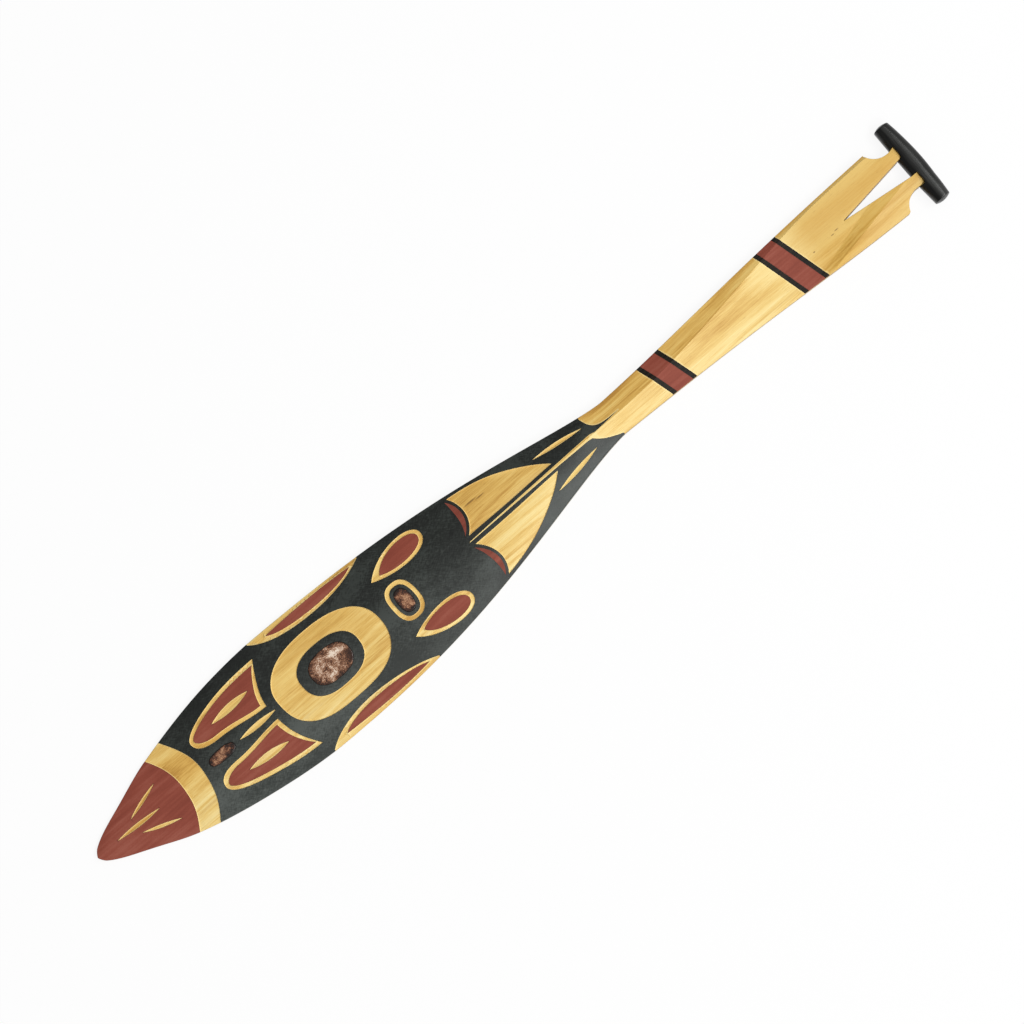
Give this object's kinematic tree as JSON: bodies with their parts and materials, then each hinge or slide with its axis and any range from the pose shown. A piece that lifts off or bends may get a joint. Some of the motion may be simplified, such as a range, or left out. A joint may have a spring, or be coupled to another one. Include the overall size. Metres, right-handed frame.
{
  "type": "carved canoe paddle",
  "caption": "Carved and painted wooden canoe paddle: leaf blade in shallow relief with shell inlays, tapering ridged shaft, forked upper end and a cross-bar T grip.",
  "frame": {"origin": "centre of the underside of the paddle's bounding box, on the surface that the flat back lies on", "axes": "+X along the paddle from the blade's tip to the grip, +Y across it, +Z out of the carved front"},
  "size_m": [1.245, 0.1612, 0.025],
  "materials": {
    "oiled_cedar": "oiled cedar with a satin sheen, painted in matte charcoal black and oxide red on the carved front",
    "black_paint": "satin black paint over hardwood, worn smooth by hands",
    "peg_wood": "end grain of a hardwood dowel, sanded flush",
    "pale_shell": "polished nacre, mottled brown, pink and white",
    "dark_shell": "polished nacre, dark brown with copper glints"
  },
  "bodies": {
    "root": {"paddle_body": "oiled_cedar", "grip_bar": "black_paint", "grip_peg_left": "peg_wood", "grip_peg_right": "peg_wood", "shell_inlay_tip": "dark_shell", "shell_inlay_large": "pale_shell", "shell_inlay_band": "dark_shell"}
  },
  "joints": []
}
